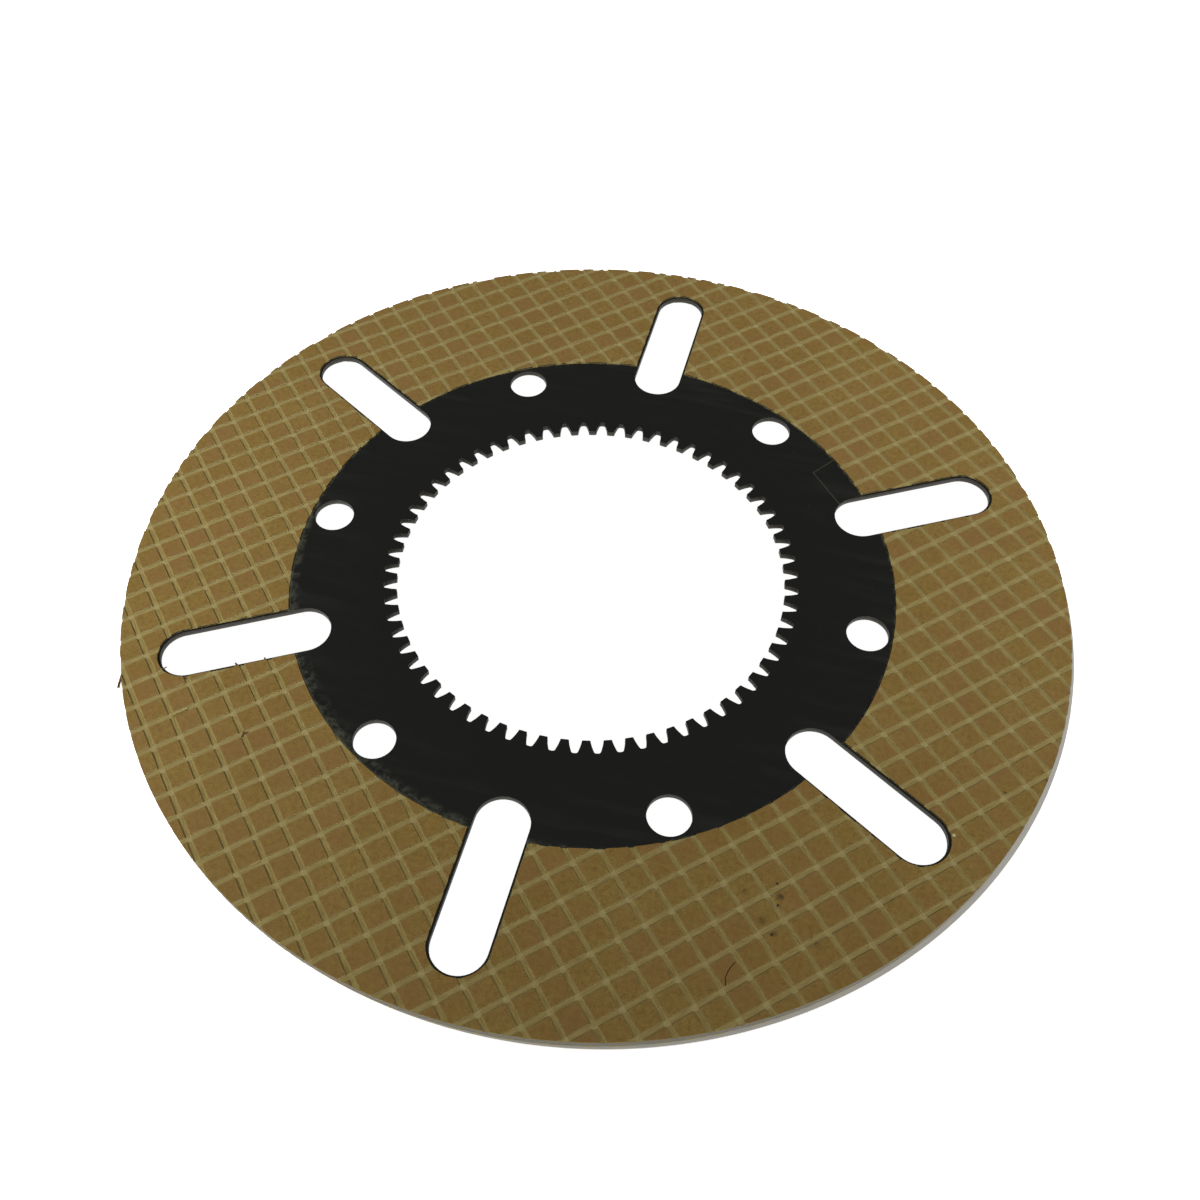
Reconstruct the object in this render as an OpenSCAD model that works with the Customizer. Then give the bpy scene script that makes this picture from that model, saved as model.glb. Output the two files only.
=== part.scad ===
// Wet clutch friction disc with internal spline teeth.
// A flat steel core carries a bonded paper friction ring on each side, and
// each ring is cut with a square lattice of oil grooves.
// Sizes are millimetres. The disc lies flat: its underside is on z = 0 and
// its axis is Z. One slot points along +Y and one bolt hole along +X.

/* [Disc] */
// Outer diameter of the core and of both facings
outer_d = 460; // [450:1:500]
// Thickness of the steel core
core_t = 3; // [2:0.1:6]

/* [Spline teeth] */
// Number of internal teeth
tooth_count = 62; // [52:1:66]
// Tooth module (pitch diameter divided by tooth count)
tooth_module = 3.175; // [2.8:0.005:3.3]
// Pressure angle of the involute flanks, degrees
pressure_angle = 14.5; // [14.5:0.5:25]
// Height of a tooth inside the pitch circle, in modules
tip_height = 0.81; // [0.6:0.01:0.9]
// Depth of a gap outside the pitch circle, in modules
root_depth = 1.3; // [1.15:0.01:1.4]
// Fillet where a flank meets the root of its gap
root_fillet = 1.1; // [0.6:0.05:1.1]
// Width taken off each flank at the pitch circle
flank_clearance = 0.05; // [0:0.01:0.2]
// Corner taken off each tooth tip
tip_corner = 0.25; // [0.1:0.05:0.4]

/* [Slots and holes] */
// Number of slots, with a bolt hole midway between each two
slot_count = 6; // [3:1:6]
// Width of a slot in the core
slot_w = 25; // [16:0.5:30]
// Radius of the arc centre at a slot's inner end
slot_inner_r = 142; // [140:1:150]
// Width of the rim that is left outside a slot
slot_rim = 18.5; // [10:0.5:40]
// Diameter of a bolt hole
bolt_hole_d = 20; // [12:0.5:21]
// Diameter of the circle that the bolt holes lie on
bolt_circle_d = 274; // [266:1:275]

/* [Facings] */
// Inner diameter of each facing
facing_inner_d = 298; // [298:1:320]
// Thickness of each facing
facing_t = 1.1; // [1:0.05:2]
// How far a facing's edge stands back from the edge of a slot
slot_margin = 1.1; // [0.5:0.1:2]

/* [Oil grooves] */
// Distance between neighbouring grooves
groove_pitch = 12.7; // [11:0.1:20]
// Width of a groove
groove_w = 2.55; // [1.5:0.05:4]
// Depth of a groove
groove_depth = 0.85; // [0.3:0.05:0.85]
// Direction of the first set of grooves, degrees from +X
groove_angle = 44.8; // [0:0.1:90]
// Sideways place of the first set, in pitches
first_set_shift = -0.395; // [-0.5:0.005:0.5]
// Sideways place of the set that crosses it, in pitches
second_set_shift = -0.5; // [-0.5:0.005:0.5]

/* [Hidden] */

black_steel = [0.15, 0.15, 0.14];
friction_paper = [0.46, 0.39, 0.22];

// Facets on the wide circles and on the slot ends and holes
wide_fn = 240;
small_fn = 60;
// How far a cutter runs past the face that it cuts
overrun = 1;

outer_r = outer_d / 2;
facing_inner_r = facing_inner_d / 2;
slot_step = 360 / slot_count;
first_slot_angle = 90;
// Radius of the arc centre at a slot's outer end
slot_outer_r = outer_r - slot_rim - slot_w / 2;

// Heights of the layers
core_z = facing_t;
upper_z = core_z + core_t;

// Circles of the teeth
pitch_r = tooth_module * tooth_count / 2;
base_r = pitch_r * cos(pressure_angle);
tip_r = pitch_r - tip_height * tooth_module;
root_r = pitch_r + root_depth * tooth_module;
tooth_step = 360 / tooth_count;

// A flank has this many straight steps, and its root fillet this many
flank_steps = 5;
fillet_steps = 4;

// Angle in degrees that an involute has unwound at a pressure angle
function unwound(angle) = tan(angle) * 180 / PI - angle;

// Half the angle of a gap at the pitch circle and at any radius
pitch_half_gap = 90 / tooth_count + flank_clearance / pitch_r * 180 / PI;
function half_gap(r) =
    pitch_half_gap + unwound(pressure_angle) - unwound(acos(min(1, base_r / r)));

// A point on the flank, in a frame whose X runs out through the gap's middle
function flank_point(r) = [r * cos(half_gap(r)), r * sin(half_gap(r))];

// The fillet rolls on the flank and on the root. Its centre is found from
// the flank's slope beside it.
fillet_x = root_r - root_fillet;
beside_fillet = flank_point(fillet_x);
below_fillet = flank_point(fillet_x - root_fillet);
flank_slope = (beside_fillet[1] - below_fillet[1]) / (beside_fillet[0] - below_fillet[0]);
fillet_y = beside_fillet[1] - root_fillet * norm([1, flank_slope]);
fillet_sweep = atan2(1, -flank_slope);
flank_end_r = fillet_x + root_fillet * cos(fillet_sweep);

// One side of a gap, from the tooth tip out to the root
gap_side = concat(
    [[tip_r, flank_point(tip_r)[1] + tip_corner]],
    [for (i = [0:flank_steps - 1])
        flank_point(tip_r + tip_corner + (flank_end_r - tip_r - tip_corner) * i / flank_steps)],
    [for (i = [0:fillet_steps])
        let (a = fillet_sweep * (1 - i / fillet_steps))
        [fillet_x + root_fillet * cos(a), fillet_y + root_fillet * sin(a)]]
);

// A whole gap, and the bore's outline as the gap repeated around the axis.
// A gap lies on the same line as the first slot.
last = len(gap_side) - 1;
gap_outline = concat(
    [for (p = gap_side) [p[0], -p[1]]],
    [for (i = [last:-1:0]) gap_side[i]]
);
function turned(p, a) = [p[0] * cos(a) - p[1] * sin(a), p[0] * sin(a) + p[1] * cos(a)];
bore_outline = [
    for (i = [0:tooth_count - 1])
        for (p = gap_outline)
            turned(p, first_slot_angle + i * tooth_step)
];

// Grooves on each side of the middle one
groove_reach = ceil(outer_r / groove_pitch) + 1;

// Every slot, grown by a margin all round
module slot_shapes(margin) {
    w = slot_w + 2 * margin;
    for (i = [0:slot_count - 1]) {
        rotate(first_slot_angle + i * slot_step) {
            translate([slot_inner_r, 0]) circle(d = w, $fn = small_fn);
            translate([slot_outer_r, 0]) circle(d = w, $fn = small_fn);
            translate([slot_inner_r, -w / 2]) square([slot_outer_r - slot_inner_r, w]);
        }
    }
}

// Cutters for the bolt holes, midway between the slots
module bolt_hole_cutters() {
    for (i = [0:slot_count - 1]) {
        rotate(first_slot_angle + (i + 0.5) * slot_step)
            translate([bolt_circle_d / 2, 0, -overrun])
                cylinder(d = bolt_hole_d, h = core_t + 2 * overrun, $fn = small_fn);
    }
}

// The steel plate: toothed bore, slots and bolt holes
module core_plate() {
    color(black_steel)
        translate([0, 0, core_z])
            difference() {
                linear_extrude(core_t)
                    difference() {
                        circle(r = outer_r, $fn = wide_fn);
                        polygon(bore_outline);
                        slot_shapes(0);
                    }
                bolt_hole_cutters();
            }
}

// Outline of a facing before its grooves are cut
module facing_shape() {
    difference() {
        circle(r = outer_r, $fn = wide_fn);
        circle(r = facing_inner_r, $fn = wide_fn);
        slot_shapes(slot_margin);
    }
}

// One set of parallel grooves, seen from above
module groove_lines(angle, shift) {
    rotate(angle)
        for (i = [-groove_reach:groove_reach])
            translate([-outer_r - overrun, (i + shift) * groove_pitch - groove_w / 2])
                square([2 * (outer_r + overrun), groove_w]);
}

// A facing with its back on z = 0: whole paper under the grooves, then the
// lands that stand between them
module facing() {
    floor_t = facing_t - groove_depth;
    linear_extrude(floor_t) facing_shape();
    translate([0, 0, floor_t])
        linear_extrude(groove_depth)
            difference() {
                facing_shape();
                groove_lines(groove_angle, first_set_shift);
                groove_lines(groove_angle + 90, second_set_shift);
            }
}

// The ring bonded on top of the core
module upper_facing() {
    color(friction_paper)
        translate([0, 0, upper_z])
            facing();
}

// The same ring turned over, bonded underneath
module lower_facing() {
    color(friction_paper)
        translate([0, 0, core_z])
            rotate([180, 0, 0])
                facing();
}

core_plate();
upper_facing();
lower_facing();
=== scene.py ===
# %% [markdown]
# # A friction disc, dressed for its portrait
#
# The solids of this disc were made as CAD: a black steel plate with teeth
# round its bore, and a grooved paper ring bonded on each side. They arrive
# here as a fixed frame. This script gives them their materials, adds the few
# loose fibres that cut paper has, and sets up the light and the camera of the
# reference photograph.
#
# Everything is in metres and in the frame of the CAD: the disc lies on z = 0
# and its axis is Z.

# %% Load the frame
import math
from functools import partial

import bmesh
import bpy
from mathutils import Matrix, Vector


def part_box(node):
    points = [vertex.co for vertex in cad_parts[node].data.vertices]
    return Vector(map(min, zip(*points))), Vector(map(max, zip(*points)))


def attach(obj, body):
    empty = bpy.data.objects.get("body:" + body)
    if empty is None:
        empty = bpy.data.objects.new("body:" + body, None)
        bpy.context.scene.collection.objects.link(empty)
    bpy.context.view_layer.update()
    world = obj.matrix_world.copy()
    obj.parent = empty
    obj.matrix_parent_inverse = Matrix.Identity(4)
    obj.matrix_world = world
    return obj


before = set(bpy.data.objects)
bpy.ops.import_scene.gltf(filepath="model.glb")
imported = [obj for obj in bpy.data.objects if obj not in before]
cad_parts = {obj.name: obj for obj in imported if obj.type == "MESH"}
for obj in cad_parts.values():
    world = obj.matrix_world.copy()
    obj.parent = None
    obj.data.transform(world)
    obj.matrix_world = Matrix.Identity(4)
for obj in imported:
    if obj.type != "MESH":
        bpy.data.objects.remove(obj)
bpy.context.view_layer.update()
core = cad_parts["core_plate"]
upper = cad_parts["upper_facing"]
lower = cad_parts["lower_facing"]
print("nodes:", sorted(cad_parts))

# %% [markdown]
# ## Sizes taken from the frame
#
# Heights and the outer radius come from the solids' boxes, so a thicker plate
# or facing is followed without a change here. Materials work in millimetres,
# because that is how a workshop thinks of grain, fibres and scratches.

# %% Sizes
MM = 0.001
PLATE_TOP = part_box("core_plate")[1]
FACING_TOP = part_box("upper_facing")[1]
MIDDLE_Z = FACING_TOP[2] / 2

# Millimetres from here on, with heights counted from the disc's middle plane
OUTER_R = FACING_TOP[0] / MM
FACE_H = (FACING_TOP[2] - MIDDLE_Z) / MM
CORE_H = (PLATE_TOP[2] - MIDDLE_Z) / MM
print("outer radius %.1f mm" % OUTER_R)
print("faces %.2f mm off the middle, and %.2f mm for the plate's" % (FACE_H, CORE_H))

# %% [markdown]
# ## Colours
#
# Colours are picked as sRGB hex values, the way a colour picker shows them.
# Shaders work in linear light, so one function converts them.

# %% Colour helper
def linear(hex_colour):
    """Turn an sRGB hex colour such as '806C3F' into linear RGBA."""
    parts = [int(hex_colour[i:i + 2], 16) / 255 for i in (0, 2, 4)]
    out = [c / 12.92 if c <= 0.04045 else ((c + 0.055) / 1.055) ** 2.4 for c in parts]
    return (*out, 1.0)


print("land brown in linear light:", [round(c, 3) for c in linear("806C3F")])

# %% [markdown]
# ## A small helper for node trees
#
# `add` makes one node, sets its properties by keyword, and fills its inputs
# from a dictionary. A node or a socket given as a value is linked, and any
# other value is set on the input itself. `partial(add, tree)` then gives each
# material its own short name for it.

# %% Node helper
def add(tree, kind, inputs=None, **settings):
    node = tree.nodes.new("ShaderNode" + kind)
    for name, value in settings.items():
        setattr(node, name, value)
    for name, value in (inputs or {}).items():
        if isinstance(value, bpy.types.Node):
            value = next(socket for socket in value.outputs if socket.enabled)
        if isinstance(value, bpy.types.NodeSocket):
            tree.links.new(value, node.inputs[name])
        else:
            node.inputs[name].default_value = value
    return node


def new_material(name):
    """An empty node material, and its tree."""
    material = bpy.data.materials.new(name)
    material.use_nodes = True
    material.node_tree.nodes.clear()
    return material, material.node_tree


print("node helper ready")

# %% [markdown]
# ## Places and layers
#
# Both finishes ask the same of a point: where is it in millimetres, how far is
# it from the disc's middle plane, and is it on the upper side? A Mapping node
# turns Object coordinates into millimetres with their zero in the disc's
# middle.
#
# Both are painted the way a scale modeller paints, too: a base coat, then one
# tone after another. `lay_over` does that. It multiplies the masks of a tone,
# so the tone shows only where all of them are on.

# %% Places and layers
def disc_place(tree):
    """A point in mm, its X, Y and Z, its distance off the middle plane, and 1 for the upper side."""
    node = partial(add, tree)
    coords = node("TexCoord").outputs["Object"]
    place = node("Mapping", {
        "Vector": coords, "Location": (0, 0, -MIDDLE_Z / MM), "Scale": (1 / MM,) * 3})
    parts = node("SeparateXYZ", {"Vector": place}).outputs
    height = node("Math", {0: parts["Z"]}, operation="ABSOLUTE")
    above = node("Math", {0: parts["Z"], 1: 0.0}, operation="ADD", use_clamp=True)
    return place, parts, height, above


def lay_over(tree, colour, layers):
    """Lay tones over a colour in turn. Each layer is its masks, a strength and a hex tone."""
    node = partial(add, tree)
    for masks, share, tone in layers:
        for mask in masks:
            share = node("Math", {0: mask, 1: share}, operation="MULTIPLY")
        colour = node("Mix", {"Factor": share, "A": colour, "B": linear(tone)}, data_type="RGBA")
    return colour


print("place and layer helpers ready")

# %% [markdown]
# ## Marks
#
# A real disc has been handled: it carries specks, smudges, a stray hair, a
# scratch. Each is painted where it lies. The lists give places on the disc in
# millimetres. A spot is a centre, a radius and a strength, and a line is the
# points that it runs through.

# %% Marks
DOTS = [
    ((118.7, -137.2), 0.65, 0.95), ((120.7, -146.4), 0.6, 0.9), ((120.5, -159.5), 0.8, 0.8),
    ((205.5, -68.4), 0.6, 0.8), ((207.6, 2.2), 0.5, 0.8), ((222.3, -57.6), 0.6, 0.7),
]
SMUDGES = [
    ((106.7, -144.2), 1.5, 0.6), ((120.9, -142.7), 1.9, 0.9), ((115.7, -154.8), 2.1, 0.65),
    ((121.6, -159.0), 1.5, 0.6), ((138.8, -158.5), 1.5, 0.5), ((101.2, -188.5), 1.1, 0.5),
]
FLECKS = [((186.4, -94.9), 0.75, 0.9)]
MOTES = [((83.3, 106.2), 0.35, 0.6), ((97.2, 71.0), 0.35, 0.6)]
HAIR = [(108.7, -175.0), (107.4, -177.2), (106.6, -179.6), (106.2, -182.2), (106.9, -185.2)]
FINE_CUT = [(134.3, -151.3), (135.7, -154.5), (136.4, -157.3)]
SCRATCH = [(104.0, 106.4), (95.3, 94.7), (111.6, 77.1)]
print("marks:", sum(map(len, (DOTS, SMUDGES, FLECKS, MOTES))), "spots and 3 lines")

# %% [markdown]
# ## Masks for the marks
#
# A spot is a soft-edged ball and a line is a chain of soft-edged capsules, so
# both masks come from distances alone. For a line, each stretch finds its own
# nearest point to the place being shaded, and the least of the distances wins.
# Both fade out between two shares of their radius.

# %% Mark masks
SPOT_FADE = (1.2, 0.5)
LINE_FADE = (1.4, 0.6)


def spot_mask(tree, place, spots):
    """The strongest of some round marks."""
    node = partial(add, tree)
    mask = None
    for (x, y), radius, strength in spots:
        reach = node("VectorMath", {0: place, 1: (x, y, 0)}, operation="DISTANCE").outputs["Value"]
        level = node("MapRange", {
            "Value": reach, "From Min": SPOT_FADE[0] * radius, "From Max": SPOT_FADE[1] * radius,
            "To Max": strength}, interpolation_type="SMOOTHSTEP")
        mask = level if mask is None else node("Math", {0: mask, 1: level}, operation="MAXIMUM")
    return mask


def line_mask(tree, place, points, half_width):
    """A thin line through points: the least distance to any of its stretches."""
    node = partial(add, tree)
    least = None
    for start, end in zip(points, points[1:]):
        a, b = Vector((*start, 0)), Vector((*end, 0))
        along = node("VectorMath", {0: place, 1: tuple(-a)}, operation="ADD")
        share = node("VectorMath", {0: along, 1: tuple((b - a) / (b - a).length_squared)},
                     operation="DOT_PRODUCT").outputs["Value"]
        share = node("Math", {0: share, 1: 0.0}, operation="ADD", use_clamp=True)
        foot = node("VectorMath", {0: tuple(b - a), "Scale": share}, operation="SCALE")
        gap = node("VectorMath", {0: along, 1: foot}, operation="DISTANCE").outputs["Value"]
        least = gap if least is None else node("Math", {0: least, 1: gap}, operation="MINIMUM")
    return node("MapRange", {
        "Value": least, "From Min": LINE_FADE[0] * half_width,
        "From Max": LINE_FADE[1] * half_width}, interpolation_type="SMOOTHSTEP")


print("mark masks ready")

# %% [markdown]
# ## Friction paper: its fibres
#
# The ring is pressed paper full of resin. Seen close it is felt: a grain of
# about half a millimetre, clumps of a few millimetres, and tones that drift
# over several lands. Each is a noise texture whose scale is one over its size
# in millimetres. The levels are the same noise, stretched to run from 0 to 1.

# %% Paper fibres
GRAIN_SIZE = 0.55
CLUMP_SIZE = 2.4
DRIFT_SIZE = 21
CLOUD_SIZE = 45


def paper_fibres(tree, place):
    """The noises that all of the paper's colours share."""
    node = partial(add, tree)
    grain = node("TexNoise", {
        "Vector": place, "Scale": 1 / GRAIN_SIZE, "Detail": 4.0, "Roughness": 0.7})
    clumps = node("TexNoise", {
        "Vector": place, "Scale": 1 / CLUMP_SIZE, "Detail": 5.0, "Roughness": 0.65})
    drift = node("TexNoise", {"Vector": place, "Scale": 1 / DRIFT_SIZE, "Detail": 2.0})
    clouds = node("TexNoise", {"Vector": place, "Scale": 1 / CLOUD_SIZE, "Detail": 2.0})
    return {
        "grain": grain,
        "clumps": clumps,
        "grain_level": node("MapRange", {"Value": grain, "From Min": 0.42, "From Max": 0.60}),
        "clump_level": node("MapRange", {"Value": clumps, "From Min": 0.34, "From Max": 0.66}),
        "drift_level": node("MapRange", {"Value": drift, "From Min": 0.40, "From Max": 0.68}),
        "cloud_level": node("MapRange", {"Value": clouds, "From Min": 0.35, "From Max": 0.65}),
    }


print("paper noises of %s, %s, %s and %s mm" % (GRAIN_SIZE, CLUMP_SIZE, DRIFT_SIZE, CLOUD_SIZE))

# %% [markdown]
# ## Friction paper: where the grooves are
#
# The lattice of grooves is known, so the shader can tell how far a point is
# from the nearest groove of a set. Ping-pong turns the coordinate across the
# grooves into that distance, and a little grain makes it ragged, as torn
# fibres do. The distance places the groove's own colour and the pale lip
# beside it. Streaks that the saw left are noise, stretched along the groove.

# %% Groove sets
GROOVE_PITCH = 12.7
GROOVE_HALF = 2.55 / 2
RAGGED = 0.25
STREAK_LENGTH = 7
STREAK_WIDTH = 0.35

# How far from the groove's side its colour and its lip begin and are full, in mm
BAND_FADE = (0.12, -0.02)
LIP_FADE = (0.55, 0.10)


def groove_set(tree, lattice, axis, shift, grain):
    """One set of parallel grooves. Axis is the letter of the direction across them."""
    node = partial(add, tree)
    across = node("SeparateXYZ", {"Vector": lattice}).outputs[axis]
    centred = node("Math", {0: across, 1: shift}, operation="SUBTRACT")
    clean = node("Math", {0: centred, 1: GROOVE_PITCH / 2}, operation="PINGPONG")
    ragged = node("MapRange", {"Value": grain, "To Min": -RAGGED, "To Max": RAGGED})
    off = node("Math", {0: clean, 1: ragged}, operation="ADD")
    sizes = (STREAK_LENGTH, STREAK_WIDTH, 1) if axis == "Y" else (STREAK_WIDTH, STREAK_LENGTH, 1)
    stretched = node("Mapping", {"Vector": lattice, "Scale": [1 / size for size in sizes]})
    return {
        "off": off,
        "band": node("MapRange", {
            "Value": off, "From Min": GROOVE_HALF + BAND_FADE[0], "From Max": GROOVE_HALF + BAND_FADE[1]}),
        "lip": node("MapRange", {
            "Value": off, "From Min": GROOVE_HALF + LIP_FADE[0], "From Max": GROOVE_HALF + LIP_FADE[1]}),
        "streak": node("TexNoise", {
            "Vector": stretched, "Scale": 1.0, "Detail": 3.0, "Roughness": 0.6}),
    }


print("grooves every %.1f mm, %.2f mm wide" % (GROOVE_PITCH, 2 * GROOVE_HALF))

# %% [markdown]
# ## Friction paper: the lands
#
# The lands are what the press left: smooth, and the brown of cooked resin.
# Over the base coat go paler specks, darker clouds, rosy patches where the
# resin is richer, and a pale lip of lifted fibres along each groove.

# %% Land colour
def land_colour(tree, fibres, lip):
    node = partial(add, tree)
    brown = node("Mix", {
        "Factor": fibres["clump_level"], "A": linear("705729"), "B": linear("8A723D")},
        data_type="RGBA")
    return lay_over(tree, brown, [
        ([fibres["grain_level"]], 0.55, "9B844A"),
        ([fibres["cloud_level"]], 0.3, "74592A"),
        ([fibres["drift_level"]], 0.45, "85633E"),
        ([lip, fibres["grain_level"]], 0.75, "968859"),
    ])


print("land colour ready")

# %% [markdown]
# ## Friction paper: the cut grooves
#
# A saw cut the grooves after pressing, and cut fibres are paler and greener
# than pressed ones. The first set runs along the light and is even. The second
# runs across the light, and its floors are painted browner: painted shade for
# the shadow that its sides cast. Its pale side lines are partly pushed fibre
# and partly painted highlight where the sides catch the light. Where two
# grooves cross, the fibres are fuzziest and palest.

# %% Cut colour
# How far inside the groove's side the second set's pale line, partly painted highlight, begins and is
# full, in mm
SECOND_SET_PALE_LINE = (0.5, 0.25)


def cut_colour(tree, fibres, first, second, streak):
    """The colour of the grooves' floors, from both sets and the streaks along them."""
    node = partial(add, tree)
    level = node("MapRange", {"Value": streak, "From Min": 0.35, "From Max": 0.65})
    even = node("Mix", {
        "Factor": level, "A": linear("857545"), "B": linear("A69662")}, data_type="RGBA")
    # Painted shade: the second set's floors are browner, as that set lies across the light
    second_shade_and_light = node("Mix", {
        "Factor": level, "A": linear("7F6C3B"), "B": linear("A08F5A")}, data_type="RGBA")
    line = node("MapRange", {
        "Value": second["off"],
        "From Min": GROOVE_HALF - SECOND_SET_PALE_LINE[0], "From Max": GROOVE_HALF - SECOND_SET_PALE_LINE[1]})
    patchy = node("MapRange", {"Value": fibres["clump_level"], "To Min": 0.1, "To Max": 0.75})
    # Pale lines along the second set's sides: partly pushed fibre, partly painted highlight
    second_shade_and_light = lay_over(tree, second_shade_and_light, [([line, patchy], 1.0, "AA9D6A")])
    cut = node("Mix", {"Factor": first["band"], "A": second_shade_and_light, "B": even}, data_type="RGBA")
    crossing = node("Math", {0: first["band"], 1: second["band"]}, operation="MINIMUM")
    return lay_over(tree, cut, [([crossing, fibres["clump_level"]], 0.85, "A89D70")])


print("cut colour ready")

# %% [markdown]
# ## Friction paper: the walls
#
# A wall is either the side of a groove or the edge where the press punched the
# ring out of its sheet. A groove's side is pale, partly as all cut fibre is and
# partly as painted light that lifts the shade it stands in. The punched edge is
# nearly black under a thin pale lip: partly dark resin and partly painted
# shade, as that wall faces away from the light. Round the outside the edge is
# pale again, partly cut fibre and partly painted light that lifts its shade.

# %% Wall colour
# Where the pale outer edge and the painted shade under the lip begin and are full, in mm inwards and down
PALE_OUTER_EDGE = (0.5, 0.3)
LIP_DEPTH = (0.2, 0.32)


def wall_colour(tree, fibres, groove, radius, height):
    node = partial(add, tree)
    # Partly painted light: groove sides paler than cut fibre alone, to lift their shade
    cut_side_and_light = node("Mix", {
        "Factor": fibres["grain_level"], "A": linear("A5986A"), "B": linear("BCB186")},
        data_type="RGBA")
    outside = node("MapRange", {
        "Value": radius, "From Min": OUTER_R - PALE_OUTER_EDGE[0], "From Max": OUTER_R - PALE_OUTER_EDGE[1]})
    under_lip = node("MapRange", {
        "Value": height, "From Min": FACE_H - LIP_DEPTH[0], "From Max": FACE_H - LIP_DEPTH[1]})
    # Painted shade: below its pale lip the edge turns nearly black, over darker resin
    resin_and_shade_edge = node("Mix", {
        "Factor": under_lip, "A": linear("8E8560"), "B": linear("17150F")}, data_type="RGBA")
    # Partly painted light: the outer edge lifted to a pale tone, over its pale cut fibre
    resin_and_shade_edge = lay_over(tree, resin_and_shade_edge, [([outside], 1.0, "A89E70")])
    return node("Mix", {"Factor": groove, "A": resin_and_shade_edge, "B": cut_side_and_light}, data_type="RGBA")


print("wall colour ready")

# %% [markdown]
# ## Friction paper: the material
#
# Height tells which colour a point takes: land within a tenth of a millimetre
# of the top, groove floor at the bottom, wall between. Height is measured off
# the middle plane, and the lattice is mirrored for the lower side, so both
# rings share the material. Paper is matt, so it has a high roughness and almost
# no specular light. The Bevel node rounds its edges, and the same noise that
# colours the fibres lifts them a little.

# %% Friction paper
GROOVE_DEPTH = 0.85
GROOVE_ANGLE = math.radians(44.8)
FIRST_SHIFT = -0.395 * GROOVE_PITCH
SECOND_SHIFT = 0.5 * GROOVE_PITCH
FLOOR_H = FACE_H - GROOVE_DEPTH

# How far off its own plane a face's colour begins and is full, in mm
FACE_FADE = (0.10, 0.02)
FLOOR_FADE = (0.12, 0.02)
PAPER_ROUND = 0.35 * MM
PAPER_RELIEF = 0.10 * MM


def friction_paper():
    material, tree = new_material("friction_paper")
    node = partial(add, tree)
    place, parts, height, above = disc_place(tree)
    side = node("Math", {0: parts["Z"]}, operation="SIGN")
    mirrored = node("Math", {0: parts["Y"], 1: side}, operation="MULTIPLY")
    flat = node("CombineXYZ", {"X": parts["X"], "Y": mirrored})
    radius = node("VectorMath", {0: flat}, operation="LENGTH").outputs["Value"]

    fibres = paper_fibres(tree, place)
    lattice = node("Mapping", {"Vector": flat, "Rotation": (0, 0, -GROOVE_ANGLE)})
    first = groove_set(tree, lattice, "Y", FIRST_SHIFT, fibres["grain"])
    second = groove_set(tree, lattice, "X", SECOND_SHIFT, fibres["grain"])
    groove = node("Math", {0: first["band"], 1: second["band"]}, operation="MAXIMUM")
    lip = node("Math", {0: first["lip"], 1: second["lip"]}, operation="MAXIMUM")
    streak = node("Mix", {
        "Factor": first["band"], "A": second["streak"], "B": first["streak"]}, data_type="FLOAT")

    land = node("MapRange", {
        "Value": height, "From Min": FACE_H - FACE_FADE[0], "From Max": FACE_H - FACE_FADE[1]})
    floor = node("MapRange", {
        "Value": height, "From Min": FLOOR_H + FLOOR_FADE[0], "From Max": FLOOR_H + FLOOR_FADE[1]})
    wall = wall_colour(tree, fibres, groove, radius, height)
    cut = cut_colour(tree, fibres, first, second, streak)
    colour = node("Mix", {"Factor": floor, "A": wall, "B": cut}, data_type="RGBA")
    brown = land_colour(tree, fibres, lip)
    colour = node("Mix", {"Factor": land, "A": colour, "B": brown}, data_type="RGBA")

    # The marks lie on the upper side only, and smudges break up over the clumps
    broken = node("MapRange", {"Value": fibres["clumps"], "From Min": 0.38, "From Max": 0.56})
    colour = lay_over(tree, colour, [
        ([spot_mask(tree, flat, SMUDGES), above, broken], 1.0, "4A3B26"),
        ([spot_mask(tree, flat, DOTS), above], 1.0, "2A1F20"),
        ([line_mask(tree, flat, HAIR, half_width=0.19), above], 1.0, "1E170C"),
        ([line_mask(tree, flat, FINE_CUT, half_width=0.15), above], 0.5, "3A2E18"),
        ([spot_mask(tree, flat, FLECKS), above], 1.0, "C9CBB4"),
    ])

    roughness = node("MapRange", {"Value": land, "To Min": 0.95, "To Max": 0.7})
    relief = node("Mix", {"Factor": land, "A": streak, "B": fibres["grain"]}, data_type="FLOAT")
    rounded = node("Bevel", {"Radius": PAPER_ROUND}, samples=6)
    bump = node("Bump", {
        "Height": relief, "Strength": 0.5, "Distance": PAPER_RELIEF, "Normal": rounded})
    surface = node("BsdfPrincipled", {
        "Base Color": colour, "Roughness": roughness, "Normal": bump, "Specular IOR Level": 0.12})
    node("OutputMaterial", {"Surface": surface})
    return material


paper = friction_paper()
print("made", paper.name, "with", len(paper.node_tree.nodes), "nodes")

# %% [markdown]
# ## Black steel: dust and glue
#
# Some of the glue that bonds the rings was squeezed out. It left a smoky,
# ragged ring of dust on the plate, just inside the facing's edge, and a thin
# pale line where it dried. Both are thick on one side of the disc, and on the
# other the dust is narrow and the line is gone. They stop at the facing, so
# the narrow ledges of bare plate round the slots stay black.

# %% Dust and glue
FACING_INNER_R = 149.0

# An arrow to the thick side. It is about one over that radius long, so its dot
# product with a place at the facing's edge is near the cosine between the two
THICK_SIDE = (-0.0045, -0.005, 0)
THICK_COSINE = (0.55, 1.0)
THIN_DUST = 1.2
THICK_DUST = 8.0

# Gaps inwards from the facing's edge, in mm
GLUE_LINE = (1.1, 0.7)
BARE_LEDGE = (-0.5, -0.2)


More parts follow.
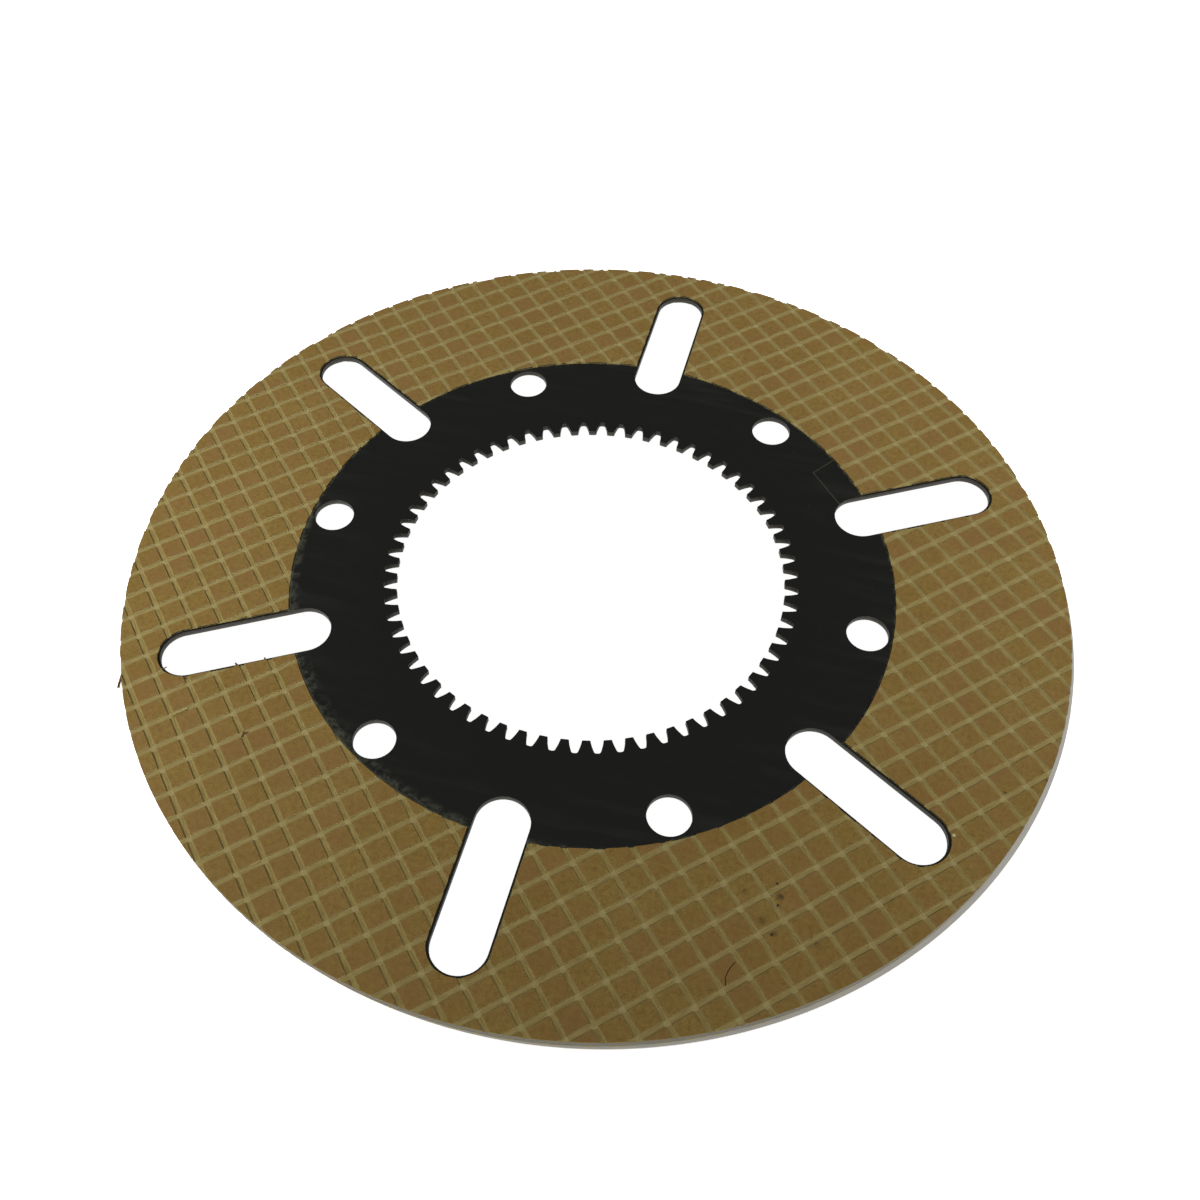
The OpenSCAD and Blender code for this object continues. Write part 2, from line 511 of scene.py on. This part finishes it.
def glue_ring(tree, flat, radius):
    """Masks for the dust, for the line of glue, and for the side where both are thick."""
    node = partial(add, tree)
    gap = node("Math", {0: FACING_INNER_R, 1: radius}, operation="SUBTRACT")
    cosine = node("VectorMath", {0: flat, 1: THICK_SIDE}, operation="DOT_PRODUCT").outputs["Value"]
    thick = node("MapRange", {
        "Value": cosine, "From Min": THICK_COSINE[0], "From Max": THICK_COSINE[1]})
    reach = node("MapRange", {"Value": thick, "To Min": THIN_DUST, "To Max": THICK_DUST})
    ring = node("Math", {0: gap, 1: reach}, operation="DIVIDE")
    ring = node("MapRange", {"Value": ring, "From Min": 1.0, "From Max": 0.35})
    line = node("MapRange", {"Value": gap, "From Min": GLUE_LINE[0], "From Max": GLUE_LINE[1]})
    bare = node("MapRange", {"Value": gap, "From Min": BARE_LEDGE[0], "From Max": BARE_LEDGE[1]})
    dust = node("Math", {0: ring, 1: bare}, operation="MULTIPLY")
    glue = node("Math", {0: line, 1: bare}, operation="MULTIPLY")
    return dust, glue, thick


print("dust reaches %.1f to %.1f mm in from the facing" % (THIN_DUST, THICK_DUST))

# %% [markdown]
# ## Black steel: the walls
#
# The punch leaves a smooth band where it enters and tears the metal below. The
# walls of the slots, holes and teeth are dark and turn paler downwards, partly
# from that rough metal and partly as a painted reflection of the white floor
# below them. The outer rim is painted a paler grey.

# %% Steel walls
# Heights between which the wall turns from smooth to rough and to the painted reflection, and where the
# paler rim begins, in mm
TORN_AND_REFLECTING = (0.3, -0.5)
RIM_GREY_REACH = (1.0, 0.8)


def steel_walls(tree, up, radius, grain_level):
    node = partial(add, tree)
    torn_and_reflecting = node("MapRange", {"Value": up, "From Min": TORN_AND_REFLECTING[0], "From Max": TORN_AND_REFLECTING[1]})
    # Partly painted reflection: the wall turns paler downwards, towards the white floor
    punched = node("Mix", {
        "Factor": torn_and_reflecting, "A": linear("2B2822"), "B": linear("48443A")}, data_type="RGBA")
    rim_grey = node("Mix", {
        "Factor": grain_level, "A": linear("6C6962"), "B": linear("7E7A72")}, data_type="RGBA")
    outside = node("MapRange", {
        "Value": radius, "From Min": OUTER_R - RIM_GREY_REACH[0], "From Max": OUTER_R - RIM_GREY_REACH[1]})
    return node("Mix", {"Factor": outside, "A": punched, "B": rim_grey}, data_type="RGBA")


print("steel walls ready")

# %% [markdown]
# ## Black steel: the material
#
# The plate is blackened steel. The oxide skin hides the metal under it, so
# this is a dark dielectric with a satin gloss, not a metallic shader. It is
# nearly flat in colour, so what it shows is a faint grain, soft streaks where
# a cloth wiped it, and a roughness that wanders a little.

# %% Black steel
STEEL_GRAIN = 0.7
DUST_SIZE = 3.5
WIPE_SIZE = (60, 9)
WIPE_ANGLE = math.radians(-37)
WIPED_RADII = (105.0, 145.0)
STEEL_RELIEF = 0.05 * MM


def black_steel():
    material, tree = new_material("black_steel")
    node = partial(add, tree)
    place, parts, height, above = disc_place(tree)
    flat = node("CombineXYZ", {"X": parts["X"], "Y": parts["Y"]})
    radius = node("VectorMath", {0: flat}, operation="LENGTH").outputs["Value"]

    grain = node("TexNoise", {
        "Vector": place, "Scale": 1 / STEEL_GRAIN, "Detail": 4.0, "Roughness": 0.7})
    dusty = node("TexNoise", {
        "Vector": place, "Scale": 1 / DUST_SIZE, "Detail": 6.0, "Roughness": 0.7})
    wiped = node("Mapping", {
        "Vector": flat, "Rotation": (0, 0, WIPE_ANGLE),
        "Scale": (1 / WIPE_SIZE[0], 1 / WIPE_SIZE[1], 1)})
    wiped = node("TexNoise", {"Vector": wiped, "Scale": 1.0, "Detail": 3.0, "Roughness": 0.55})
    grain_level = node("MapRange", {"Value": grain, "From Min": 0.3, "From Max": 0.7})
    dust_level = node("MapRange", {"Value": dusty, "From Min": 0.45, "From Max": 0.62})
    wipe_level = node("MapRange", {"Value": wiped, "From Min": 0.5, "From Max": 0.75})
    wipe_band = node("MapRange", {
        "Value": radius, "From Min": WIPED_RADII[0], "From Max": WIPED_RADII[1]})

    dust, glue, thick = glue_ring(tree, flat, radius)
    skin = node("Mix", {
        "Factor": grain_level, "A": linear("0C0D0C"), "B": linear("141513")}, data_type="RGBA")
    skin = lay_over(tree, skin, [
        ([wipe_band, wipe_level], 0.5, "282A25"),
        ([dust, dust_level], 0.85, "46483C"),
        ([glue, thick], 0.5, "5C5E50"),
        ([line_mask(tree, flat, SCRATCH, half_width=0.2), above], 0.55, "5A584A"),
        ([spot_mask(tree, flat, MOTES), above], 1.0, "4A4A42"),
    ])
    wall = steel_walls(tree, parts["Z"], radius, grain_level)
    face = node("MapRange", {
        "Value": height, "From Min": CORE_H - FACE_FADE[0], "From Max": CORE_H - FACE_FADE[1]})
    colour = node("Mix", {"Factor": face, "A": wall, "B": skin}, data_type="RGBA")

    roughness = node("MapRange", {"Value": dusty, "To Min": 0.34, "To Max": 0.46})
    bump = node("Bump", {"Height": grain, "Strength": 0.12, "Distance": STEEL_RELIEF})
    surface = node("BsdfPrincipled", {
        "Base Color": colour, "Roughness": roughness, "Normal": bump, "Specular IOR Level": 0.4})
    node("OutputMaterial", {"Surface": surface})
    return material


steel = black_steel()
print("made", steel.name, "with", len(steel.node_tree.nodes), "nodes")

# %% [markdown]
# ## Dress the solids
#
# Nothing real has a perfectly sharp edge. On the plate, three modifiers round
# the CAD solid without touching its mesh: Weld joins the faces that the import
# keeps apart, Decimate merges the triangles of each flat face, and Bevel
# rounds what is left. A fourth keeps the flat faces looking flat. The rings
# have a thousand small corners that cross their rim at all angles, where a
# modelled bevel would fold over itself, so the paper's shader rounds their
# edges with its Bevel node instead.

# %% Dress the solids
WELD_GAP = 0.002 * MM
FLAT_ANGLE = math.radians(0.6)
EDGE_ROUND = 0.15 * MM
EDGE_ANGLE = math.radians(35)

for piece, material in ((core, steel), (upper, paper), (lower, paper)):
    piece.data.materials.clear()
    piece.data.materials.append(material)
weld = core.modifiers.new("join", "WELD")
weld.merge_threshold = WELD_GAP
merge = core.modifiers.new("flat_faces", "DECIMATE")
merge.decimate_type = "DISSOLVE"
merge.angle_limit = FLAT_ANGLE
bevel = core.modifiers.new("soft_edges", "BEVEL")
bevel.width = EDGE_ROUND
bevel.segments = 2
bevel.limit_method = "ANGLE"
bevel.angle_limit = EDGE_ANGLE
bevel.use_clamp_overlap = False
core.modifiers.new("clean_shading", "WEIGHTED_NORMAL")
print("dressed", [o.name for o in (core, upper, lower)])

# %% [markdown]
# ## Torn fibres
#
# A saw never leaves paper quite clean. The photograph shows a blade of paper
# that stands off the left rim, a pale sliver that lies in a groove with a
# brown one beside it, a brown flap at a crossing and a few hairs at the edge
# of the left slot. The list gives each fibre's name, its tone, its width, how
# much of that is left at the tip, its thickness, and the three points that
# bend it. All lengths are millimetres.

# %% Fibre list
FIBRES = [
    ("rim_blade", "brown", 1.1, 1.1, 0.6,
     [(-195.9, -120.0, 4.7), (-195.2, -123.2, 4.8), (-194.3, -126.2, 4.6)]),
    ("groove_sliver", "pale", 1.3, 0.7, 0.3,
     [(-163.5, -133.1, 4.95), (-160.5, -130.1, 5.03), (-157.6, -127.4, 4.95)]),
    ("groove_fill", "land", 1.15, 0.8, 0.5,
     [(-162.1, -133.4, 4.85), (-159.7, -131.0, 4.9), (-157.3, -128.6, 4.85)]),
    ("flap_upright", "rust", 0.8, 0.5, 0.3,
     [(-126.5, -134.8, 5.0), (-127.2, -133.3, 5.02), (-127.0, -131.7, 5.0)]),
    ("flap_side", "rust", 1.0, 0.5, 0.3,
     [(-127.2, -132.9, 5.0), (-125.9, -132.7, 5.02), (-125.0, -131.6, 5.0)]),
    ("slot_hair_1", "grey", 1.1, 0.5, 0.5,
     [(-144.4, -100.2, 4.9), (-145.7, -99.4, 4.95), (-147.0, -98.5, 4.9)]),
    ("slot_hair_2", "grey", 1.1, 0.5, 0.5,
     [(-132.9, -93.9, 4.9), (-133.9, -93.0, 4.95), (-134.8, -91.9, 4.9)]),
    ("slot_hair_3", "grey", 0.6, 0.6, 0.4,
     [(-179.2, -111.2, 4.9), (-177.9, -110.6, 4.95), (-177.5, -109.5, 4.9)]),
    ("slot_hair_4", "brown", 0.7, 0.6, 0.4,
     [(-168.0, -113.2, 4.8), (-166.4, -112.9, 4.9), (-165.4, -112.8, 4.9)]),
]
print("fibres:", len(FIBRES))

# %% [markdown]
# ## What torn fibre looks like
#
# A torn end is a tuft of cellulose with the resin broken off it. It has no
# gloss at all, and its tone wanders between a dark and a light one over about
# half a millimetre. Five pairs of tones cover all the fibres.

# %% Fibre tones
FIBRE_GRAIN = 0.6
FIBRE_TONES = {
    "brown": ("3E2E1A", "62492A"), "pale": ("958A55", "B0A66E"), "land": ("6A5228", "8C743F"),
    "rust": ("573C22", "7C5A38"), "grey": ("3A382F", "5C5A4A"),
}


def torn_paper(name, dark, light):
    """Paper fibre seen close: one matt tone that wanders between two."""
    material, tree = new_material(name)
    node = partial(add, tree)
    coords = node("TexCoord").outputs["Object"]
    place = node("Mapping", {"Vector": coords, "Scale": (1 / MM,) * 3})
    grain = node("TexNoise", {"Vector": place, "Scale": 1 / FIBRE_GRAIN, "Detail": 3.0})
    level = node("MapRange", {"Value": grain, "From Min": 0.35, "From Max": 0.65})
    colour = node("Mix", {"Factor": level, "A": linear(dark), "B": linear(light)}, data_type="RGBA")
    surface = node("BsdfPrincipled", {
        "Base Color": colour, "Roughness": 0.95, "Specular IOR Level": 0.1})
    node("OutputMaterial", {"Surface": surface})
    return material


tones = {tone: torn_paper("torn_paper_" + tone, *pair) for tone, pair in FIBRE_TONES.items()}
print("torn paper in", len(tones), "tones")

# %% [markdown]
# ## Bending a fibre
#
# Each fibre is a bar of unit length, made by one operator, with its long edges
# rounded by a second and cut into short lengths by a third. Then every vertex
# is carried onto a curve. Two straight blends between the fibre's points give
# a near and a far point, and a blend of those runs along a smooth arc from the
# first point to the last, drawn towards the middle one. The bar's own
# directions keep their order on the way, so its faces still point outwards.

# %% Make the fibres
ROUNDING = 0.2
CUTS = 8


def long_edges(bar):
    """The edges that run along the bar, which is one unit long."""
    return [e for e in bar.edges if abs(e.verts[0].co.x - e.verts[1].co.x) > 0.5]


def make_fibre(name, material, width, tip, thick, path):
    """A tapered bar bent along its path, all in mm."""
    start, middle, end = (Vector(p) for p in path)
    bar = bmesh.new()
    bmesh.ops.create_cube(bar, size=1.0)
    bmesh.ops.bevel(bar, geom=long_edges(bar), offset=ROUNDING, offset_type="OFFSET", segments=2,
                    profile=0.5, affect="EDGES", material=-1)
    bmesh.ops.subdivide_edges(bar, edges=long_edges(bar), cuts=CUTS, use_grid_fill=True)
    for vert in bar.verts:
        t = vert.co.x + 0.5
        near, far = start.lerp(middle, t), middle.lerp(end, t)
        sideways = (far - near).cross(Vector((0, 0, 1))).normalized()
        taper = 1 - (1 - tip) * t ** 2
        vert.co = (near.lerp(far, t) - sideways * vert.co.y * width * taper
                   + Vector((0, 0, vert.co.z * thick * taper))) * MM
    mesh = bpy.data.meshes.new(name)
    bar.to_mesh(mesh)
    bar.free()
    fibre = bpy.data.objects.new(name, mesh)
    bpy.context.collection.objects.link(fibre)
    mesh.materials.append(material)
    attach(fibre, "root")
    return fibre


fibres = [make_fibre(name, tones[tone], *sizes) for name, tone, *sizes in FIBRES]
print("made", [o.name for o in fibres])

# %% [markdown]
# ## The white floor
#
# The photograph's background is pure white, but a floor that sends so much
# light back would wash the object out. The Light Path node tells what a ray is
# for: rays that come from the camera find a floor of a much brighter colour
# than rays that carry light. The lamps reach the floor less far out, so there
# the colour is brighter still. Through the bore, the slots and the holes the
# camera finds plain white, which keeps those edges crisp.
#
# The photograph keeps one strip of the floor's shadow, along the near right
# rim. So the bright colour starts outside a circle that is a little larger
# than the disc and shifted to that side, and in the strip between them the
# shadow shows.

# %% Floor material
# Radii and a place on the floor in mm
SHADOW_R = 230.3
SHADOW_SOFT = 0.2
SHADOW_SHIFT = (2.15, -0.2, 0.0)
UNDER_DISC = (OUTER_R - 3, OUTER_R - 4)
FAR_OUT = (OUTER_R + 5, OUTER_R + 100)

FLOOR_LIT = (0.5, 0.5, 0.5, 1.0)
FLOOR_MIRRORED = (1.1, 1.1, 1.1, 1.0)
# Painted shadow: the dark grey the camera sees in the strip by the near right rim, over the floor's real
# shadow
PAINTED_SHADOW_GREY = (0.51, 0.50, 0.47, 1.0)
FLOOR_NEAR = (2.0, 2.0, 2.0, 1.0)
FLOOR_FAR = (3.3, 3.3, 3.3, 1.0)
WHITE = (1.0, 1.0, 1.0, 1.0)


def white_floor():
    material, tree = new_material("studio_floor")
    node = partial(add, tree)
    path = node("LightPath").outputs
    coords = node("TexCoord").outputs["Object"]
    place = node("Mapping", {"Vector": coords, "Scale": (1 / MM,) * 3})
    radius = node("VectorMath", {0: place}, operation="LENGTH").outputs["Value"]
    reach = node("VectorMath", {0: place, 1: SHADOW_SHIFT}, operation="DISTANCE").outputs["Value"]
    inside = node("MapRange", {
        "Value": radius, "From Min": UNDER_DISC[0], "From Max": UNDER_DISC[1]})
    outside = node("MapRange", {
        "Value": reach, "From Min": SHADOW_R - SHADOW_SOFT, "From Max": SHADOW_R + SHADOW_SOFT})
    far = node("MapRange", {"Value": radius, "From Min": FAR_OUT[0], "From Max": FAR_OUT[1]})

    white = node("Mix", {"Factor": far, "A": FLOOR_NEAR, "B": FLOOR_FAR}, data_type="RGBA")
    # Painted shadow in the strip, the bright colour outside it
    seen = node("Mix", {"Factor": outside, "A": PAINTED_SHADOW_GREY, "B": white}, data_type="RGBA")
    mirrored = node("Math", {
        0: path["Is Glossy Ray"], 1: path["Is Transmission Ray"]}, operation="MAXIMUM")
    colour = node("Mix", {
        "Factor": mirrored, "A": FLOOR_LIT, "B": FLOOR_MIRRORED}, data_type="RGBA")
    colour = node("Mix", {
        "Factor": path["Is Camera Ray"], "A": colour, "B": seen}, data_type="RGBA")
    paint = node("BsdfDiffuse", {"Color": colour})
    plain = node("Emission", {"Color": WHITE, "Strength": 1.0})
    through = node("Math", {0: inside, 1: path["Is Camera Ray"]}, operation="MULTIPLY")
    surface = node("MixShader", {0: through, 1: paint, 2: plain})
    node("OutputMaterial", {"Surface": surface})
    return material


floor_material = white_floor()
print("made", floor_material.name)

# %% [markdown]
# ## The floor itself
#
# One flat sheet of twelve metres is enough for a studio floor. It lies a hair
# below the disc, so that the two never share a plane.

# %% Floor
FLOOR_Z = -0.02 * MM
FLOOR_HALF = 6.0


def make_floor():
    mesh = bpy.data.meshes.new("floor")
    sheet = bmesh.new()
    bmesh.ops.create_grid(sheet, x_segments=1, y_segments=1, size=FLOOR_HALF,
                          matrix=Matrix.Translation((0, 0, FLOOR_Z)))
    sheet.to_mesh(mesh)
    sheet.free()
    floor = bpy.data.objects.new("floor", mesh)
    bpy.context.collection.objects.link(floor)
    mesh.materials.append(floor_material)


make_floor()
print("floor at z = %.2f mm" % (FLOOR_Z / MM))

# %% [markdown]
# ## Light
#
# The grooves tell where the light was. The set that runs up to the right has
# no shadow in it, so the light came along it, from the front left. It fades
# towards the near edge, so it was aimed past the disc, and its spread is
# narrowed as a grid does on a soft box. A second light stands high behind the
# camera and is aimed at the far right. It fills the walls that face the
# camera. Places are given as a bearing round the disc, a height angle and a
# distance.

# %% Lights
def around(bearing, height, distance):
    """A point given by its bearing from +X and its height angle, in degrees."""
    b, h = math.radians(bearing), math.radians(height)
    return Vector((math.cos(b) * math.cos(h), math.sin(b) * math.cos(h), math.sin(h))) * distance


def soft_light(name, place, aim, size, power, spread):
    """A square lamp, its size in metres, its power in watts and its spread in degrees."""
    light = bpy.data.lights.new(name, "AREA")
    light.shape = "SQUARE"
    light.size = size
    light.energy = power
    light.spread = math.radians(spread)
    lamp = bpy.data.objects.new(name, light)
    lamp.location = place
    lamp.rotation_euler = (Vector(aim) - place).to_track_quat("-Z", "Y").to_euler()
    bpy.context.collection.objects.link(lamp)


soft_light("left_light", around(bearing=243, height=48, distance=1.9), aim=(-0.417, -0.085, 0),
           size=0.65, power=1.35, spread=24.2)
soft_light("front_light", around(bearing=-45, height=60, distance=1.8), aim=(0.43, 0.37, 0),
           size=0.8, power=1.72, spread=28.5)

# %% [markdown]
# ## Sky
#
# A pale, slightly warm sky lights what the lamps leave. It is brighter behind
# the camera than behind the disc, as a room with a window is. The camera itself
# sees it plain white, so that the floor has no horizon.

# %% Sky
SKY_SIDE = tuple(around(bearing=-75, height=15, distance=1.0))
SKY_TURN = (-0.1, 0.8)
SKY_DIM = 0.17
SKY_BRIGHT = 0.67
SKY_TINT = (1.0, 0.98, 0.93, 1.0)


def pale_sky():
    world = bpy.data.worlds.new("sky")
    bpy.context.scene.world = world
    world.use_nodes = True
    tree = world.node_tree
    tree.nodes.clear()
    node = partial(add, tree)
    direction = node("TexCoord").outputs["Generated"]
    cosine = node("VectorMath", {0: direction, 1: SKY_SIDE}, operation="DOT_PRODUCT").outputs["Value"]
    strength = node("MapRange", {
        "Value": cosine, "From Min": SKY_TURN[0], "From Max": SKY_TURN[1],
        "To Min": SKY_DIM, "To Max": SKY_BRIGHT})
    seen = node("LightPath").outputs["Is Camera Ray"]
    strength = node("Math", {0: strength, 1: seen}, operation="MAXIMUM")
    colour = node("Mix", {"Factor": seen, "A": SKY_TINT, "B": WHITE}, data_type="RGBA")
    sky = node("Background", {"Color": colour, "Strength": strength})
    node("OutputWorld", {"Surface": sky})


pale_sky()
bpy.context.scene.view_settings.view_transform = "Standard"
print("sky strength %.2f to %.2f" % (SKY_DIM, SKY_BRIGHT))

# %% [markdown]
# ## Camera
#
# The camera was found by fitting circles, slots, holes and grooves to the
# photograph. It stands 618 mm from the disc's centre, 53 degrees up, and
# leans a little. A small shift of its frame says that the picture was cropped
# off centre.

# %% Camera
CAMERA_BEARING = -75.0
CAMERA_HEIGHT = 52.69
CAMERA_DISTANCE = 0.6178
CAMERA_ROLL = -2.47
AIM = Vector((-0.01915, -0.02086, 0.0))
LENS = 37.1
SENSOR_WIDTH = 36.0
SHIFT_X = 0.0492
SHIFT_Y = 0.0006


def make_camera():
    data = bpy.data.cameras.new("camera")
    data.lens = LENS
    data.sensor_width = SENSOR_WIDTH
    data.shift_x = SHIFT_X
    data.shift_y = SHIFT_Y
    data.clip_start = 10 * MM
    camera = bpy.data.objects.new("camera", data)
    camera.location = around(CAMERA_BEARING, CAMERA_HEIGHT, CAMERA_DISTANCE)
    level = (AIM - camera.location).to_track_quat("-Z", "Y").to_matrix()
    roll = Matrix.Rotation(math.radians(CAMERA_ROLL), 3, "Z")
    camera.rotation_euler = (level @ roll).to_euler()
    bpy.context.collection.objects.link(camera)
    bpy.context.scene.camera = camera
    return camera


camera = make_camera()
print("camera at", [round(c, 3) for c in camera.location])
